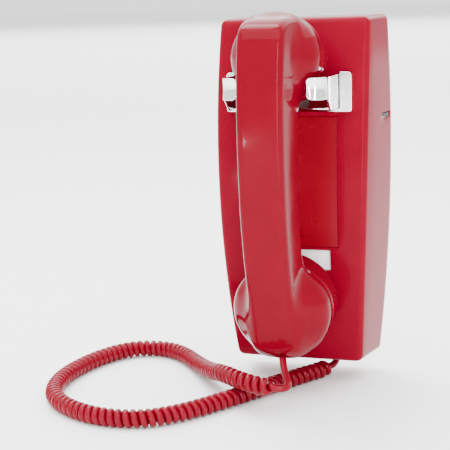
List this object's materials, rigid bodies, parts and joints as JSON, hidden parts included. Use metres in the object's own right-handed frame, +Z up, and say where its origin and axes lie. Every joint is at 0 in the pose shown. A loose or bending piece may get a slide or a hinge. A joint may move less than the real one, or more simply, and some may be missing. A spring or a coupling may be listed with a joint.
{
  "type": "wall telephone",
  "caption": "Wall telephone without a dial: bowed moulded housing, chrome cradle with a moving hook, handset, plain dial blank, number card and curly cord.",
  "frame": {"origin": "centre of the wall mount on the wall plane, midway between the two keyholes of the base plate", "axes": "+Z up, -Y out of the wall towards the user, +X to the right seen from the front"},
  "size_m": [0.2223, 0.1764, 0.2553],
  "materials": {
    "red_plastic": "high gloss",
    "blank_red": "gloss",
    "chrome": "polished",
    "plated_steel": "zinc plated",
    "clear_plastic": "clear",
    "card": "matte card",
    "brass": "satin",
    "spring_steel": "bright",
    "switch_plastic": "moulded",
    "winding": "lacquered wire",
    "soft_iron": "smooth",
    "network_case": "moulded",
    "capsule_metal": "satin",
    "capsule_black": "moulded",
    "cord_red": "glossy",
    "plug_clear": "clear moulded",
    "wheel_grey": "ribbed"
  },
  "bodies": {
    "base": {"base_plate": "plated_steel", "housing": "red_plastic", "wall_plug": "plug_clear", "dial_blank": "blank_red", "blank_bracket": "plated_steel", "card_window": "clear_plastic", "number_card": "card", "card_holder": "plated_steel", "cradle_bezel": "chrome", "hook_pin": "spring_steel", "hook_bracket": "plated_steel", "hook_spring": "spring_steel", "switch_blades": "brass", "switch_stack": "switch_plastic", "gong_left": "brass", "gong_right": "brass", "gong_posts": "plated_steel", "gong_screws": "plated_steel", "ringer_frame": "plated_steel", "ringer_core": "soft_iron", "ringer_coil": "winding", "clapper_pin": "spring_steel", "network_block": "network_case", "network_terminals": "brass", "network_spacers": "plated_steel", "volume_control": "switch_plastic", "cord_coil": "cord_red", "cord_lead_handset": "cord_red", "cord_lead_base": "cord_red", "cord_grommet": "cord_red", "housing_screws": "plated_steel"},
    "hook": {"cradle_hook": "chrome", "hook_lever": "plated_steel"},
    "handset": {"handset_handle": "red_plastic", "receiver_cap": "red_plastic", "transmitter_cap": "red_plastic", "receiver_capsule": "capsule_metal", "transmitter_capsule": "capsule_metal", "transmitter_cup": "capsule_black"},
    "clapper": {"clapper": "brass"},
    "volume": {"volume_wheel": "wheel_grey"}
  },
  "joints": [
    {"name": "handset_lift", "type": "slide", "parent": "base", "child": "handset", "axis": [0, -0.342, 0.9397], "range_m": [0, 0.09]},
    {"name": "hook_swing", "type": "hinge", "parent": "base", "child": "hook", "pos_m": [0, -0.014, 0.061], "axis": [-1, 0, 0], "range_deg": [0, 5]},
    {"name": "clapper_swing", "type": "hinge", "parent": "base", "child": "clapper", "pos_m": [0, -0.029, -0.051], "axis": [0, 1, 0], "range_deg": [-3.5, 3.5]},
    {"name": "volume_turn", "type": "hinge", "parent": "base", "child": "volume", "pos_m": [0.0484, -0.0116, 0.0516], "axis": [0, 0, 1], "range_deg": [-135, 135]}
  ],
  "couplings": [
    {"joint": "hook_swing", "follows": "handset_lift", "rad_per_m": 0.96}
  ]
}
